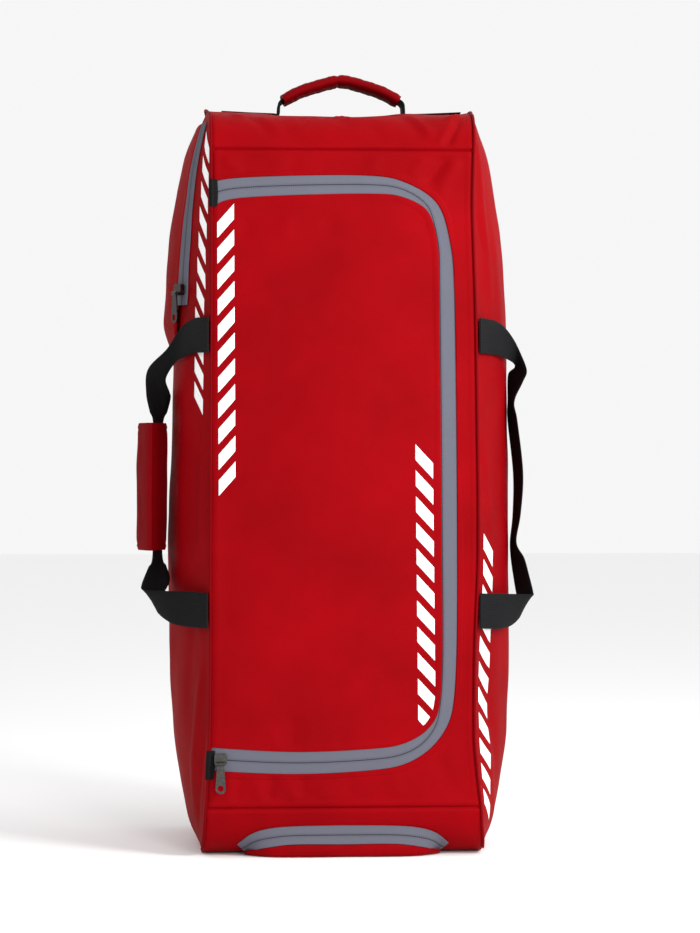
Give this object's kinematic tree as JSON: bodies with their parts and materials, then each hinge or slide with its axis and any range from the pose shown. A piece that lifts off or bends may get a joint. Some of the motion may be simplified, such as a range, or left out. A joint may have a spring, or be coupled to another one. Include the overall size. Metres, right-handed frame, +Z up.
{
  "type": "cricket_kit_bag",
  "caption": "Upright soft cricket kit bag in red cloth with grey zip tapes, black webbing carry loops and a padded top handle.",
  "frame": {"origin": "On the floor under the middle of the bag's flat base, halfway between its front and its back.", "axes": "+Z up the bag's length, -Y out of the zipped front, +X to the right seen from the front."},
  "size_m": [0.5082, 0.3483, 0.9915],
  "materials": {
    "red_cloth": "woven polyester",
    "grey_tape": "zip tape",
    "black_webbing": "woven webbing",
    "gunmetal": "dark plated"
  },
  "bodies": {
    "bag": {"front_frame": "red_cloth", "front_lid": "red_cloth", "main_zip_tape": "grey_tape", "top_panel": "red_cloth", "base_panel": "red_cloth", "back_panel": "red_cloth", "side_panel_left": "red_cloth", "side_panel_right": "red_cloth", "piping_left": "red_cloth", "piping_right": "red_cloth", "side_pocket": "red_cloth", "side_pocket_zip_tape": "grey_tape", "base_pocket": "red_cloth", "base_pocket_zip_tape": "grey_tape", "haul_strap_left": "black_webbing", "haul_strap_right": "black_webbing", "strap_wrap": "red_cloth", "top_handle_strap": "black_webbing", "top_handle_grip": "red_cloth", "main_zip_slider": "gunmetal", "side_pocket_zip_slider": "gunmetal", "zip_end_tab_top": "black_webbing", "zip_end_tab_base": "black_webbing"},
    "main_pull": {"main_zip_puller": "gunmetal"},
    "side_pull": {"side_pocket_zip_puller": "gunmetal"}
  },
  "joints": [
    {"name": "main_puller_swing", "type": "hinge", "parent": "bag", "child": "main_pull", "pos_m": [-0.15325, -0.1757, 0.11822], "axis": [-1, 0, 0], "range_deg": [0, 165]},
    {"name": "side_puller_swing", "type": "hinge", "parent": "bag", "child": "side_pull", "pos_m": [-0.21009, -0.10224, 0.704], "axis": [-0.5583, 0.8297, 0], "range_deg": [0, 165]}
  ]
}
